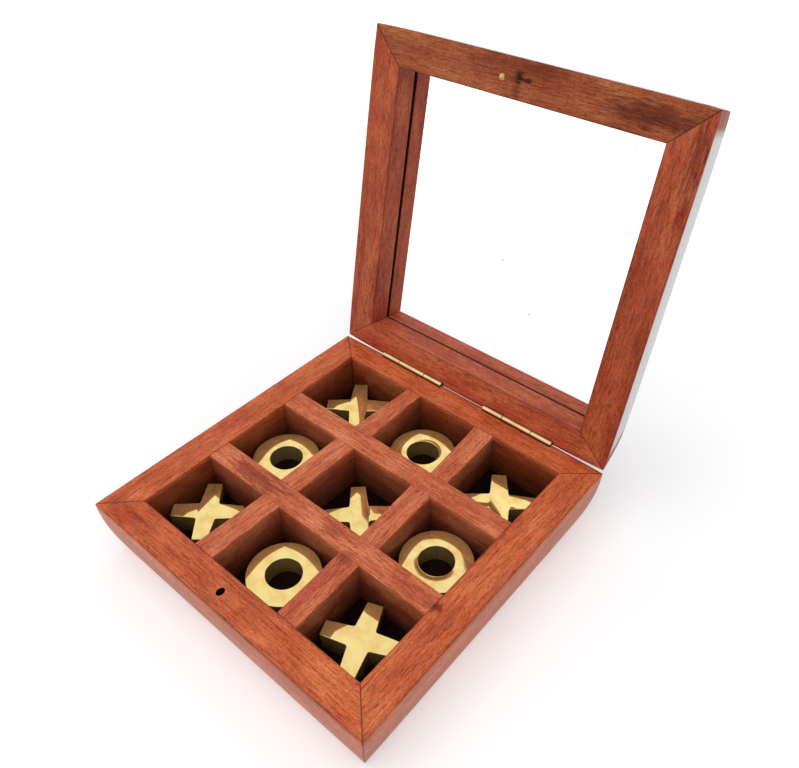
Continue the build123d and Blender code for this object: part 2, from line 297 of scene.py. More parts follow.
def polished_wood(name, tones, stains, side_wax_and_sheen):
    """Red-brown hardwood, planed, stained and wax-polished by hand.

    tones are three grain tones and the pores' tint; a stain is its centre and reach in
    millimetres, its tint and its strength.
    To the eye: orange-red tones that drift along the grain, fine dark pores, a few darker
    patches, painted shade that darkens the cell walls with depth, and a wax gloss that shows at low angles,
    with a painted pale sheen mixed into the outer sides' colour there.
    """
    material, tree = new_material(name)
    place = attribute(tree, "grain", "Vector")
    broad = scaled_noise(tree, place, (48, 7, 7), 3, 0.55, 0.4)
    colour = ramp(tree, broad, [(0.3, rgba(tones[0])), (0.5, rgba(tones[1])), (0.72, rgba(tones[2]))])
    fibres = scaled_noise(tree, place, (7, 0.55, 0.55), 5, 0.75)
    fibre_tone = ramp(tree, fibres, [(0.34, rgba("B8A090")), (0.5, grey(0.98)), (0.66, grey(1.24))])
    colour = mix(tree, "MULTIPLY", 0.95, colour, fibre_tone)
    speckle = scaled_noise(tree, place, (1.1, 0.5, 0.5), 3, 0.8)
    speckle_tone = ramp(tree, speckle, [(0.38, grey(0.76)), (0.5, grey(1.02)), (0.62, grey(1.22))])
    colour = mix(tree, "MULTIPLY", 0.9, colour, speckle_tone)
    cloud = scaled_noise(tree, place, (13, 9, 9), 4, 0.6)
    cloud_tone = ramp(tree, cloud, [(0.35, rgba("E2B9A6")), (0.65, rgba("FFFFFF"))])
    colour = mix(tree, "MULTIPLY", 0.7, colour, cloud_tone)
    pores = scaled_noise(tree, place, (2.4, 0.35, 0.35), 2, 0.5)
    pore_mask = ramp(tree, pores, [(0.58, grey(0)), (0.72, grey(0.8))])
    colour = mix(tree, "MULTIPLY", pore_mask, colour, rgba(tones[3]))
    for centre, reach, tint, strength in stains:
        mask = stain_mask(tree, place, centre, reach, strength)
        colour = mix(tree, "MULTIPLY", mask, colour, rgba(tint))
    rubbed = ramp(tree, attribute(tree, "edge"), [(0.0, grey(0)), (1.0, grey(0.8))])
    colour = mix(tree, "MULTIPLY", rubbed, colour, rgba("6E3A30"))
    # painted shade: the cell walls darken with depth, where little light reaches
    well = ramp(tree, attribute(tree, "well"), [
        (0.0, grey(1)), (0.12, grey(0.6)), (0.55, grey(0.3)), (1.0, grey(0.16))])
    colour = mix(tree, "MULTIPLY", 1.0, colour, well)
    outside = attribute(tree, "outside")
    # painted sheen: a pale reflection mixed into the outer sides' colour, nothing seen square on, a veil at
    # low angles
    slant = add_node(tree, "ShaderNodeLayerWeight", None, {"Blend": 0.5}).outputs["Facing"]
    veil = ramp(tree, slant, [(0.6, grey(0)), (0.8, grey(0.9 * side_wax_and_sheen))])
    painted_sheen = arithmetic(tree, "MULTIPLY", outside, veil)
    colour = mix(tree, "MIX", painted_sheen, colour, rgba("E4D4CA"))
    wax = spread(tree, outside, 0.0, 1.0, 0.03, side_wax_and_sheen)
    rough = spread(tree, cloud, 0.3, 0.7, 0.42, 0.52)
    relief = arithmetic(tree, "MULTIPLY_ADD", pores, -0.6, fibres)
    bump = add_node(tree, "ShaderNodeBump", None, {
        "Strength": 0.2, "Distance": 0.08 * MM, "Height": relief})
    shader = add_node(tree, "ShaderNodeBsdfPrincipled", None, {
        "Base Color": colour, "Roughness": rough, "IOR": 1.5, "Specular IOR Level": 0.2,
        "Coat Weight": wax, "Coat Roughness": 0.12, "Normal": bump.outputs[0]})
    finish_material(tree, shader.outputs[0])
    return material


def shade_painted_wood(name, tones):
    """Wood sawn and left unpolished, in the floor, groove, hinge seats and catch's hole, near black as
    painted shade where little light gets in.

    To the eye: dull and dark, from near black to brown, with a trace of grain.
    """
    material, tree = new_material(name)
    place = attribute(tree, "grain", "Vector")
    fibres = scaled_noise(tree, place, (8, 0.7, 0.7), 3, 0.6)
    colour = ramp(tree, fibres, [(0.35, rgba(tones[0])), (0.65, rgba(tones[1]))])
    shader = add_node(tree, "ShaderNodeBsdfPrincipled", None, {
        "Base Color": colour, "Roughness": 0.8, "IOR": 1.5, "Specular IOR Level": 0.05})
    finish_material(tree, shader.outputs[0])
    return material


def polished_brass(name, code, roughness, scratch_mm, rubbed=None):
    """Yellow brass: cast and buffed in the pieces, rolled in the hinges, drawn in the pin.

    To the eye: pale gold that mirrors what stands round it, a little blurred by fine
    rubbing marks and dulled in soft patches. With a direction given, a highlight is painted on the faces
    that look that way in the scene, however the lid stands, and the rest is painted shade of dark bronze.
    """
    material, tree = new_material(name)
    in_mm = place_in_mm(tree)
    patches = scaled_noise(tree, in_mm, (5, 5, 5), 3)
    tone = ramp(tree, patches, [(0.3, rgba("EFE3CC")), (0.6, rgba("FFFFFF"))])
    colour = mix(tree, "MULTIPLY", 1.0, rgba(code), tone)
    if rubbed:
        # painted highlight and painted shade, by the way each face looks in the scene
        normal = add_node(tree, "ShaderNodeNewGeometry").outputs["Normal"]
        facing = add_node(tree, "ShaderNodeVectorMath", {"operation": "DOT_PRODUCT"},
                          {0: normal, 1: rubbed}).outputs["Value"]
        painted_highlight_and_shade = ramp(tree, facing, [
            (0.5, rgba("5A3818")), (0.82, rgba("B8884C")), (0.95, rgba("FFFFFF"))])
        colour = mix(tree, "MULTIPLY", 1.0, colour, painted_highlight_and_shade)
    rough = spread(tree, patches, 0.3, 0.7, roughness * 1.25, roughness * 0.8)
    marks = scaled_noise(tree, in_mm, (scratch_mm * 8, scratch_mm, scratch_mm), 3)
    bump = add_node(tree, "ShaderNodeBump", None, {
        "Strength": 0.08, "Distance": 0.02 * MM, "Height": marks})
    shader = add_node(tree, "ShaderNodeBsdfPrincipled", None, {
        "Base Color": colour, "Metallic": 0.82, "Roughness": rough, "Normal": bump.outputs[0]})
    finish_material(tree, shader.outputs[0])
    return material


def float_glass(name):
    """Clear float glass, cut to size.

    To the eye: nearly unseen, with a faint reflection and a few specks of dust.
    """
    material, tree = new_material(name)
    in_mm = place_in_mm(tree)
    specks = add_node(tree, "ShaderNodeTexVoronoi", None, {"Vector": in_mm, "Scale": 1 / 8})
    chance = add_node(tree, "ShaderNodeSeparateColor", None, {0: specks.outputs["Color"]}).outputs[0]
    size = spread(tree, chance, 0.35, 1.0, 0.0, 0.045)
    speck = arithmetic(tree, "LESS_THAN", specks.outputs["Distance"], size)
    glass = add_node(tree, "ShaderNodeBsdfPrincipled", None, {
        "Base Color": rgba("FFFFFF"), "Transmission Weight": 1.0, "Roughness": 0.0, "IOR": 1.5})
    clear = add_node(tree, "ShaderNodeBsdfTransparent")
    path = add_node(tree, "ShaderNodeLightPath")
    passing = arithmetic(tree, "MAXIMUM", path.outputs["Is Shadow Ray"], path.outputs["Is Diffuse Ray"])
    pane = add_node(tree, "ShaderNodeMixShader", None, {
        0: passing, 1: glass.outputs[0], 2: clear.outputs[0]})
    dust = add_node(tree, "ShaderNodeBsdfDiffuse", None, {"Color": rgba("8E8C90")})
    shader = add_node(tree, "ShaderNodeMixShader", None, {0: speck, 1: pane.outputs[0], 2: dust.outputs[0]})
    finish_material(tree, shader.outputs[0])
    return material


def rounded(points, radii, steps=3):
    """A closed outline with each corner of radius above nothing turned into a short arc."""
    result = []
    count = len(points)
    for i, point in enumerate(points):
        radius = radii[i]
        here = Vector(point)
        if radius <= 0:
            result.append(here)
            continue
        before = (Vector(points[i - 1]) - here).normalized()
        after = (Vector(points[(i + 1) % count]) - here).normalized()
        half_angle = before.angle(after) / 2
        reach = radius / (sin(half_angle) / cos(half_angle))
        centre = here + (before + after).normalized() * (radius / sin(half_angle))
        start = here + before * reach
        end = here + after * reach
        for step in range(steps + 1):
            t = step / steps
            spoke = (start - centre).lerp(end - centre, t).normalized() * radius
            result.append(centre + spoke)
    return result


def keep_flat(mesh):
    """Shades a face flat where its corners all point its own way, so that mirrors stay true."""
    bent = []
    for face in mesh.polygons:
        corners = [mesh.corner_normals[i].vector for i in face.loop_indices]
        bent.append(any((corner - face.normal).length > 0.01 for corner in corners))
    mesh.polygons.foreach_set("use_smooth", bent)


def new_object(name, bm, material, smooth_angle=25):
    """Turns a bmesh into a scene object with soft shading and one material."""
    bmesh.ops.recalc_face_normals(bm, faces=bm.faces)
    if bm.calc_volume(signed=True) < 0:
        bmesh.ops.reverse_faces(bm, faces=bm.faces)
    mesh = bpy.data.meshes.new(name)
    bm.to_mesh(mesh)
    bm.free()
    mesh.materials.append(material)
    piece = bpy.data.objects.new(name, mesh)
    bpy.context.collection.objects.link(piece)
    mesh.shade_smooth()
    mesh.set_sharp_from_angle(angle=radians(smooth_angle))
    keep_flat(mesh)
    return piece


def write_attributes(mesh, grain, **fields):
    """Stores each vertex's place in the grain, in millimetres, and its edge, painted depth shade and
    outside values.
    """
    layer = mesh.attributes.new("grain", "FLOAT_VECTOR", "POINT")
    layer.data.foreach_set("vector", [c for v in mesh.vertices for c in grain(v.co)])
    for name, field in fields.items():
        layer = mesh.attributes.new(name, "FLOAT", "POINT")
        layer.data.foreach_set("value", [field(v.co) for v in mesh.vertices])


def paint_shade_in_hollow(piece, material, inside):
    """Gives the faces that lie in a hollow of the piece their own dark material, as painted shade."""
    piece.data.materials.append(material)
    for face in piece.data.polygons:
        if inside(face.center):
            face.material_index = 1


def cutter_object(bm):
    """Turns a bmesh into an object used only to cut with."""
    mesh = bpy.data.meshes.new("cutter")
    bm.to_mesh(mesh)
    bm.free()
    cutter = bpy.data.objects.new("cutter", mesh)
    bpy.context.collection.objects.link(cutter)
    return cutter


def cut_away(piece, cutters):
    """Takes each cutter mesh out of the piece and removes the cutters."""
    for cutter in cutters:
        modifier = piece.modifiers.new("cut", "BOOLEAN")
        modifier.operation = "DIFFERENCE"
        modifier.solver = "EXACT"
        modifier.object = cutter
    bpy.context.view_layer.update()
    shaped = piece.evaluated_get(bpy.context.evaluated_depsgraph_get())
    mesh = bpy.data.meshes.new_from_object(shaped)
    bm = bmesh.new()
    bm.from_mesh(mesh)
    # the cut leaves slivers and pinholes
    bmesh.ops.remove_doubles(bm, verts=bm.verts, dist=SLIVER)
    bmesh.ops.dissolve_degenerate(bm, edges=bm.edges, dist=SLIVER)
    bmesh.ops.holes_fill(bm, edges=[e for e in bm.edges if e.is_boundary], sides=8)
    bm.to_mesh(mesh)
    bm.free()
    old = piece.data
    piece.modifiers.clear()
    piece.data = mesh
    bpy.data.meshes.remove(old)
    for cutter in cutters:
        bpy.data.objects.remove(cutter)


def block_cutter(low, high):
    """A block to cut with, from one corner to the other."""
    bm = bmesh.new()
    bmesh.ops.create_cube(bm, size=1)
    size = [h - l for l, h in zip(low, high)]
    middle = [(h + l) / 2 for l, h in zip(low, high)]
    bmesh.ops.scale(bm, vec=size, verts=bm.verts)
    bmesh.ops.translate(bm, vec=middle, verts=bm.verts)
    return cutter_object(bm)


def hang_on(piece, body, slot, *nodes):
    """Joins a finished piece to its body and hides the CAD nodes it stands for. The slot is not used."""
    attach(piece, body)
    if nodes:
        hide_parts(*nodes)


def open_lid():
    """The turn that takes a closed lid's points to where the lid stands open."""
    hinge = Matrix.Translation((0, HINGE_AXIS_Y, HINGE_AXIS_Z))
    return hinge @ Matrix.Rotation(-LID_OPEN_ANGLE, 4, "X") @ hinge.inverted()


class Case:
    """The numbers of one half of the case: heights run away from the plane where it parts."""

    def __init__(self, height, lean, bulge, inner, back_inner, parting, direction, wear, bow):
        self.height = height
        self.lean = lean
        self.bulge = bulge
        self.inner = inner
        self.back_inner = back_inner
        self.parting = parting
        self.direction = direction
        self.wear = wear
        self.bow = bow

    def outer(self, h):
        """How far out the leaning side stands at height h."""
        share = h / self.height
        return HALF_SIDE - self.lean * share + 4 * self.bulge * share * (1 - share)

    def side_points(self, steps=10):
        """The leaning side as profile points from the parting plane on."""
        return [(self.outer(self.height * i / steps), self.height * i / steps) for i in range(steps + 1)]


def rail_profile(case, side, edge_radius, guard, inner_steps):
    """A rail's cross-section: out from the middle of the box, and height from the parting plane.

    inner_steps are the corners of the inner side from the far end back to the parting plane.
    """
    inner = case.back_inner if side == "back" else case.inner
    outline = [(inner, 0.0), (inner + guard, 0.0), (HALF_SIDE - guard, 0.0)]
    radii = [edge_radius, 0, 0]
    sides = case.side_points()
    outline += sides
    parting_edge = BACK_EDGE_RADIUS if side == "back" else edge_radius
    radii += [parting_edge] + [0] * (len(sides) - 2) + [edge_radius]
    for out, h in inner_steps(inner):
        outline.append((out, h))
        radii.append(0)
    outline.append((inner, guard))
    radii.append(0)
    return rounded(outline, radii)


def rail(case, side, profile, name, material):
    """Sweeps a cross-section along one side of the case, up to the mitres at its ends."""
    far_inner = case.back_inner if side in ("left", "right") else case.inner
    own = case.back_inner if side == "back" else case.inner
    along = Vector((1, 0, 0)) if side in ("front", "back") else Vector((0, 1, 0))
    outward = Vector({"front": (0, -1, 0), "back": (0, 1, 0), "left": (-1, 0, 0), "right": (1, 0, 0)}[side])
    # the stations lie closer together towards the ends, where the wear is
    stations = [sin(pi / 2 * s / 12) for s in range(-12, 13)]
    bm = bmesh.new()
    loops = []
    for t in stations:
        loop = []
        for out, h in profile:
            outer = case.outer(h)
            share = (out - own) / (outer - own)
            outermost = max(share, 0) ** 3
            start = case.inner + share * (outer - case.inner) - case.wear * outermost - MITRE_GAP
            end = far_inner + share * (outer - far_inner) - case.wear * outermost - MITRE_GAP
            worn = case.wear * outermost * abs(t) ** 8
            if side == "back":
                worn -= case.bow * outermost * (1 - abs(t) ** 3)
            at = -start + (start + end) * (t + 1) / 2
            point = along * at + outward * (out - worn)
            point.z = case.parting + case.direction * h
            loop.append(bm.verts.new(point))
        loops.append(loop)
    count = len(profile)
    for first, second in zip(loops, loops[1:]):
        for i in range(count):
            j = (i + 1) % count
            bm.faces.new((first[i], first[j], second[j], second[i]))
    bm.faces.new(loops[0])
    bm.faces.new(loops[-1])
    return new_object(name, bm, material), along, outward


def rail_attributes(piece, case, side, along, outward, seed):
    """Gives a rail its place in the grain, its rubbed edges, the painted shade of its cell wall and its
    waxed side with its painted sheen.
    """
    shift = Vector((seed * 137.0, seed * 31.0, seed * 53.0))
    own = case.back_inner if side == "back" else case.inner

    def grain(co):
        return (Vector((co.dot(along), co.dot(outward), co.z)) / MM + shift)

    def mitre(co):
        other = case.back_inner if co.dot(along) > 0 and side in ("left", "right") else case.inner
        outer = case.outer(min(abs(co.z - case.parting), case.height))
        share = max(0.0, (co.dot(outward) - own) / (outer - own))
        return other + share * (outer - other) - abs(co.dot(along))

    def edge(co):
        h = abs(co.z - case.parting)
        out = co.dot(outward)
        inner_edge = sqrt(h ** 2 + (out - own) ** 2)
        outer_edge = sqrt(h ** 2 + (out - case.outer(min(h, case.height))) ** 2)
        rubbed = max(0.0, 1 - min(inner_edge, outer_edge) / EDGE_TINT_WIDTH)
        joint = max(0.0, 1 - abs(mitre(co)) / JOINT_TINT_WIDTH)
        return max(rubbed, joint)

    # painted shade on the base's inner walls, darker with depth
    def well(co):
        if case.direction > 0 or co.dot(outward) > own + SLACK:
            return 0.0
        return abs(co.z - case.parting) / (BASE_TOP - FLOOR_TOP)

    def outside(co):
        h = abs(co.z - case.parting)
        near = co.dot(outward) > case.outer(min(h, case.height)) - 0.2 * MM
        return 1.0 if near and h > 0.2 * MM else 0.0

    write_attributes(piece.data, grain, edge=edge, well=well, outside=outside)


def hinge_cutters(direction):
    """Blocks that open the seats and notches of both hinges in a back rail."""
    cutters = []
    behind = HALF_SIDE + OVERCUT
    for middle in HINGE_MIDDLES:
        x0 = middle - HINGE_LENGTH / 2
        x1 = middle + HINGE_LENGTH / 2
        seat = HINGE_AXIS_Y - BARREL_RADIUS
        far = HINGE_AXIS_Z + direction * LEAF_HEIGHT
        near = HINGE_AXIS_Z - direction * BARREL_RADIUS
        z0, z1 = sorted((near, far))
        cutters.append(block_cutter((x0, seat, z0), (x1, behind, z1)))
        reach = BARREL_RADIUS + BARREL_CLEARANCE
        cutters.append(block_cutter(
            (x0 - BARREL_CLEARANCE, HINGE_AXIS_Y - reach, HINGE_AXIS_Z - reach),
            (x1 + BARREL_CLEARANCE, behind, HINGE_AXIS_Z + reach)))
    return cutters


def in_hinge_seat(centre, case):
    """Whether a face of a back rail lies in a hinge's seat or notch."""
    h = min(abs(centre.z - case.parting), case.height)
    beside = any(abs(centre.x - middle) < HINGE_LENGTH / 2 + SEAT_SLACK for middle in HINGE_MIDDLES)
    seat = HINGE_AXIS_Y - BARREL_RADIUS
    inside = seat - SEAT_SLACK < centre.y < case.outer(h) - 0.03 * MM
    return beside and inside and 0.01 * MM < h < 1.2 * LEAF_HEIGHT


class BoxSizes(bpy.types.PropertyGroup):
    """Sizes of the wood's finish that a user may change."""
    edge_radius: FloatProperty(name="Edge radius", description="How far the wood's edges are rubbed round",
                               default=0.4 * MM, subtype="DISTANCE", unit="LENGTH")
    lid_wear: FloatProperty(name="Lid corner wear",
                            description="How far the lid's outline is sanded in at its corners",
                            default=0.5 * MM, subtype="DISTANCE", unit="LENGTH")
    base_wear: FloatProperty(name="Base corner wear",
                             description="How far the base's outline is sanded in at its corners",
                             default=0.1 * MM, subtype="DISTANCE", unit="LENGTH")
    brass_edge: FloatProperty(name="Brass edge", description="Radius of the brass pieces' edges",
                              default=0.25 * MM, subtype="DISTANCE", unit="LENGTH")


class BoxColours(bpy.types.PropertyGroup):
    """Colours and gloss that a user may change."""
    piece_brass: StringProperty(name="Brass", description="Hex colour of the X and O pieces",
                                default="FEE498")
    hardware_brass: StringProperty(name="Hinge brass", description="Hex colour of hinges and screws",
                                   default="F6E0B0")
    pin_brass: StringProperty(name="Pin brass", description="Hex colour of the catch pin",
                              default="D8BC7C")
    polish: FloatProperty(name="Brass roughness", description="Roughness of the pieces' polish",
                          default=0.06, min=0.02, max=0.6)


class StageSettings(bpy.types.PropertyGroup):
    """Floor and light that a user may change."""
    lamp_power: FloatProperty(name="Lamp power", description="Power of the large overhead lamp in watts",
                              default=3.0, min=0.0)
    sky: FloatProperty(name="Room light", description="Strength of the even light of the room",
                       default=0.55, min=0.0)


def make_rails(case, body, inner_steps, wood_for, cutters, hollow, turn=None):
    """Builds the four rails of one half of the case."""
    sizes = bpy.context.scene.box_sizes
    for seed, side in enumerate(SIDES):
        profile = rail_profile(case, side, sizes.edge_radius, EDGE_GUARD, inner_steps)
        name = f"{body}_{side}_rail"
        piece, along, outward = rail(case, side, profile, "wood_" + name, wood_for[side])
        blocks = cutters.get(side)
        if blocks:
            cut_away(piece, blocks())
        rail_attributes(piece, case, side, along, outward, seed + (len(SIDES) if body == "lid" else 0))
        own = case.back_inner if side == "back" else case.inner
        # painted shade in the hollows: browner in the lid's back rail, nearly black elsewhere
        tones = ("4A3222", "6A4A30") if name == "lid_back_rail" else ("160C08", "24130C")
        raw = shade_painted_wood("rosewood_shade_painted_" + name, tones)
        paint_shade_in_hollow(piece, raw, lambda centre: hollow(centre, centre.dot(outward) - own))
        if turn:
            piece.data.transform(turn)
        hang_on(piece, body, body + "_wood", name)


def board(name, outline, z0, z1, direction, seed, material, edge_radius, slot):
    """A straight board of the base on a plan outline, its edges rubbed, its grain along a direction."""
    bm = bmesh.new()
    low = [bm.verts.new((x, y, z0)) for x, y in outline]
    face = bm.faces.new(low)
    top = bmesh.ops.extrude_face_region(bm, geom=[face])
    verts = [v for v in top["geom"] if isinstance(v, bmesh.types.BMVert)]
    bmesh.ops.translate(bm, vec=(0, 0, z1 - z0), verts=verts)
    if edge_radius:
        rims = [e for e in bm.edges if all(abs(v.co.z - z1) < SAME_HEIGHT for v in e.verts)
                and abs((e.verts[1].co - e.verts[0].co).normalized().dot(direction)) > 0.9]
        bmesh.ops.bevel(bm, geom=rims, offset=edge_radius, segments=3, profile=0.5, affect="EDGES")
    piece = new_object("wood_" + name, bm, material)
    across = Vector((-direction.y, direction.x, 0))
    shift = Vector((seed * 71.0, seed * 23.0, seed * 37.0))
    write_attributes(piece.data, lambda co: Vector((co.dot(direction), co.dot(across), co.z)) / MM + shift,
                     # painted shade on the board's sides, darker towards its foot
                     well=lambda co: (z1 - co.z) / (z1 - z0))
    hang_on(piece, "base", slot, name)


def slot_cutter():
    """An upright round bar, wider along y, that opens the hole for the catch pin."""
    length = CATCH_SLOT_BACK - CATCH_SLOT_FRONT
    middle = (CATCH_SLOT_FRONT + CATCH_SLOT_BACK) / 2
    bm = bmesh.new()
    bmesh.ops.create_cone(bm, cap_ends=True, segments=32, radius1=0.5, radius2=0.5, depth=1)
    bmesh.ops.scale(bm, vec=(CATCH_SLOT_WIDTH, length, 2 * CATCH_SLOT_DEPTH), verts=bm.verts)
    bmesh.ops.translate(bm, vec=(CATCH_X, middle, BASE_TOP), verts=bm.verts)
    return cutter_object(bm)


def plan_outline(low, high):
    """The four corners of a box seen from above."""
    return [(low.x, low.y), (high.x, low.y), (high.x, high.y), (low.x, high.y)]


class BOX_OT_base(bpy.types.Operator):
    """Builds the base's rails and floor"""
    bl_idname = "game_box.base"
    bl_label = "Base"

    def execute(self, context):
        sizes = context.scene.box_sizes
        case = Case(BASE_TOP, BASE_LEAN, BASE_BULGE, BASE_INNER, BASE_BACK_INNER, BASE_TOP, -1,
                    sizes.base_wear, BASE_BACK_BOW)
        cell = BASE_TOP - FLOOR_TOP

        def inner_steps(inner):
            return [(inner + FLOOR_REBATE, BASE_TOP), (inner + FLOOR_REBATE, cell), (inner, cell)]

        def hollow(centre, depth):
            across = abs(centre.x - CATCH_X) < CATCH_SLOT_WIDTH * 0.52
            along = CATCH_SLOT_FRONT - SLACK < centre.y < CATCH_SLOT_BACK + SLACK
            in_slot = across and along and centre.z < BASE_TOP - SLACK
            return in_slot or in_hinge_seat(centre, case)

        wood = polished_wood("rosewood_waxed_base", ("CC6642", "E0784A", "EE8C56", "A06050"), (
            ((53.8, -18.7, 25), (2.6, 2.2, 3), "8A2A2C", 0.8),
            ((-51.7, -60.0, 25), (14, 5, 4), "C88A7C", 0.7)), BASE_SIDE_WAX_AND_SHEEN)
        cutters = {"back": lambda: hinge_cutters(-1), "front": lambda: [slot_cutter()]}
        make_rails(case, "base", inner_steps, dict.fromkeys(SIDES, wood), cutters, hollow)

        # the floor's near black is painted shade at the bottom of the deep cells
        floor = shade_painted_wood("hardwood_floor_shade_painted", ("120806", "1C0E0A"))
        low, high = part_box("base_floor")
        board("base_floor", plan_outline(low, high), low.z, high.z, Vector((1, 0, 0)), 11, floor, 0,
              "floor_wood")
        return {"FINISHED"}


# Each short divider, in mm: middle at its front end, middle at its back end, width at front and at back
CROSS_PIECES = {
    "front_left": (-19.3, -18.4, 9.2, 8.2),
    "front_right": (21.3, 20.2, 8.4, 8.6),
    "middle_left": (-18.7, -18.2, 8.8, 9.0),
    "middle_right": (20.7, 19.3, 8.5, 8.8),
    "back_left": (-17.5, -17.0, 8.6, 6.6),
    "back_right": (20.4, 18.6, 7.9, 8.7),
}


class BOX_OT_dividers(bpy.types.Operator):
    """Builds the two long and six short dividers"""
    bl_idname = "game_box.dividers"
    bl_label = "Dividers"

    def execute(self, context):
        edge = context.scene.box_sizes.edge_radius * DIVIDER_EDGE_SHARE
        wood = polished_wood("rosewood_waxed_dividers", ("D06A4E", "E2825A", "F09868", "9A5C50"), (
            ((-30, -19, 25), (17, 5, 4), "A8745C", 0.75),
            ((8, -18.6, 25), (6, 3.5, 4), "A06A56", 0.6),
            ((19.4, -24, 25), (4, 3.5, 4), "9A6050", 0.6)), BASE_SIDE_WAX_AND_SHEEN)
        for seed, name in enumerate(("front", "back")):
            node = f"divider_long_{name}"
            low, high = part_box(node)
            board(node, plan_outline(low, high), low.z, high.z, Vector((1, 0, 0)), 21 + seed, wood, edge,
                  "divider_wood")
        for seed, (name, shape) in enumerate(CROSS_PIECES.items()):
            node = f"divider_cross_{name}"
            low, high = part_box(node)
            front_x, back_x, front_width, back_width = (value * MM for value in shape)
            outline = [(front_x - front_width / 2, low.y), (front_x + front_width / 2, low.y),
                       (back_x + back_width / 2, high.y), (back_x - back_width / 2, high.y)]
            direction = Vector((back_x - front_x, high.y - low.y, 0)).normalized()
            board(node, outline, low.z, high.z, direction, 31 + seed, wood, edge, "divider_wood")
        return {"FINISHED"}


class BOX_OT_lid(bpy.types.Operator):
    """Builds the lid's rails, open"""
    bl_idname = "game_box.lid"
    bl_label = "Lid"

    def execute(self, context):
        sizes = context.scene.box_sizes
        case = Case(LID_HEIGHT, LID_LEAN, LID_BULGE, LID_INNER, LID_BACK_INNER, LID_BOTTOM, 1,
                    sizes.lid_wear, LID_BACK_BOW)
        low = GLASS_UP - GROOVE_SPARE
        high = GLASS_UP + GLASS_THICKNESS + GROOVE_SPARE
        deep = GLASS_TONGUE + GROOVE_SPARE

        def inner_steps(inner):
            return [(inner, LID_HEIGHT), (inner, high + GROOVE_SHADE_REACH), (inner, high), (inner + deep, high),
                    (inner + deep, low), (inner, low), (inner, low - GROOVE_SHADE_REACH)]

        def hollow(centre, depth):
            h = centre.z - LID_BOTTOM
            within_height = low - GROOVE_SHADE_REACH < h < high + GROOVE_SHADE_REACH
            in_groove = within_height and -SLACK < depth < deep + SLACK
            # the wall beside the back rail's groove gets no painted shade
            clean_wall = depth < 0.01 * MM and centre.y > LID_BACK_INNER - SLACK
            return (in_groove and not clean_wall) or in_hinge_seat(centre, case)

        side_wood = polished_wood("rosewood_waxed_lid_sides", ("A84C30", "C2603E", "D07448", "965A4A"), (
            ((62, 87, 138), (4, 5, 16), "9A7058", 0.7),
            ((62.9, 83.1, 120.6), (2.5, 4, 7), "B04438", 0.7)), LID_SIDE_WAX_AND_SHEEN)
        top_wood = polished_wood("rosewood_waxed_lid_top", ("9C502E", "B4643E", "C47A48", "8E5A46"), (
            ((-1.6, 88, 147.2), (2.4, 3, 2.6), "4A2018", 0.95),
            ((2.0, 88, 147.0), (1.8, 3, 1.2), "5A2C1E", 0.9),
            ((-2.0, 88, 142.6), (2.0, 3, 4.5), "94685A", 0.6),
            ((46, 88, 147), (22, 5, 5), "8A6450", 0.75),
            ((0, 88, 150), (26, 5, 6), "C8A48C", 0.6)), LID_SIDE_WAX_AND_SHEEN)
        bottom_wood = polished_wood(
            "rosewood_waxed_lid_bottom", ("B4523A", "D06A48", "DC7C54", "9A5848"), (), LID_SIDE_WAX_AND_SHEEN)
        woods = {"front": top_wood, "back": bottom_wood, "left": side_wood, "right": side_wood}
        cutters = {"back": lambda: hinge_cutters(1)}
        make_rails(case, "lid", inner_steps, woods, cutters, hollow, open_lid())
        return {"FINISHED"}


class BOX_OT_glass(bpy.types.Operator):
    """Builds the pane"""
    bl_idname = "game_box.glass"
    bl_label = "Glass"

    def execute(self, context):
        side = LID_INNER + GLASS_TONGUE
        back = LID_BACK_INNER + GLASS_TONGUE
        bottom = LID_BOTTOM + GLASS_UP
        bm = bmesh.new()
        bmesh.ops.create_cube(bm, size=1)
        bmesh.ops.scale(bm, vec=(2 * side, side + back, GLASS_THICKNESS), verts=bm.verts)
        bmesh.ops.translate(bm, vec=(0, (back - side) / 2, bottom + GLASS_THICKNESS / 2), verts=bm.verts)
        bmesh.ops.bevel(bm, geom=bm.edges[:], offset=GLASS_EDGE, segments=1, affect="EDGES")
        bm.transform(open_lid())
        piece = new_object("glass_pane", bm, float_glass("glass_float_cut"))
        hang_on(piece, "lid", "glass", "lid_glass")
        return {"FINISHED"}


def turned_ring(name, centre, material, edge):
    """An O: a short thick ring whose edges are broken by the buffing wheel."""
    outline = rounded(
        [(O_HOLE_RADIUS, 0), (O_RADIUS, 0), (O_RADIUS, PIECE_HEIGHT), (O_HOLE_RADIUS, PIECE_HEIGHT)],
        [edge] * 4)
    segments = 96
    bm = bmesh.new()
    rings = []
    for i in range(segments):
        angle = 2 * pi * i / segments
        rings.append([bm.verts.new((centre.x + p.x * cos(angle), centre.y + p.x * sin(angle),
                                    FLOOR_TOP + p.y)) for p in outline])
    for i in range(segments):
        first, second = rings[i], rings[(i + 1) % segments]
        for j in range(len(outline)):
            k = (j + 1) % len(outline)
            bm.faces.new((first[j], first[k], second[k], second[j]))
    return new_object(name, bm, material)


